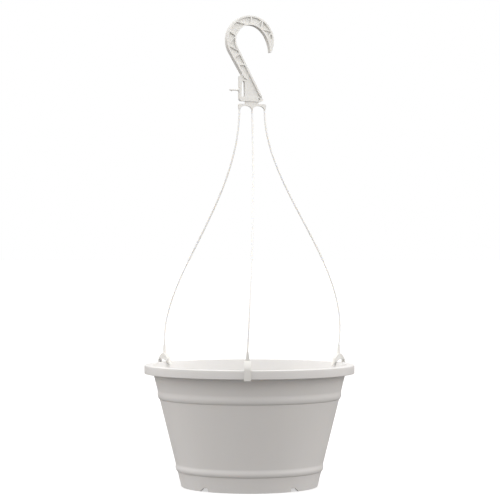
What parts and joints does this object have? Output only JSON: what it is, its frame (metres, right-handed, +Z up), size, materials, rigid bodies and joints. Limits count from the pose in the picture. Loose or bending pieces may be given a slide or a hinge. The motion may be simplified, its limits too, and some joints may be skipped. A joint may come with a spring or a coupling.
{
  "type": "hanging basket",
  "caption": "Round tapered plastic hanging basket with a skirted rim on a moulded hanger: open ribbed hook, flexible strands and push-fit rim clips.",
  "frame": {"origin": "on the surface that the basket stands on, under the middle of the basket", "axes": "+Z up along the basket's axis, -Y towards the front clip, +X to the right seen from the front"},
  "size_m": [0.26, 0.2622, 0.5815],
  "materials": {
    "basket_plastic": "smooth moulded matte",
    "hanger_plastic": "smooth moulded satin"
  },
  "bodies": {
    "basket": {"basket": "basket_plastic", "strand_front": "hanger_plastic", "strand_left": "hanger_plastic", "strand_right": "hanger_plastic"},
    "hook": {"hook": "hanger_plastic"},
    "clip_front": {"clip_front": "hanger_plastic"},
    "clip_left": {"clip_left": "hanger_plastic"},
    "clip_right": {"clip_right": "hanger_plastic"}
  },
  "joints": [
    {"name": "hook_fold", "type": "hinge", "parent": "basket", "child": "hook", "pos_m": [0.0032, 0, 0.4648], "axis": [0.9397, 0.342, 0], "range_deg": [-75, 75], "stiffness_Nm_per_rad": 0.06},
    {"name": "clip_front_release", "type": "hinge", "parent": "basket", "child": "clip_front", "pos_m": [-0.00228, -0.13048, 0.1381], "axis": [0.9998, -0.0175, 0], "range_deg": [0, 45]},
    {"name": "clip_left_release", "type": "hinge", "parent": "basket", "child": "clip_left", "pos_m": [-0.11302, 0.06525, 0.1381], "axis": [-0.5, -0.866, 0], "range_deg": [0, 45]},
    {"name": "clip_right_release", "type": "hinge", "parent": "basket", "child": "clip_right", "pos_m": [0.11827, 0.05515, 0.1381], "axis": [-0.4226, 0.9063, 0], "range_deg": [0, 45]}
  ]
}
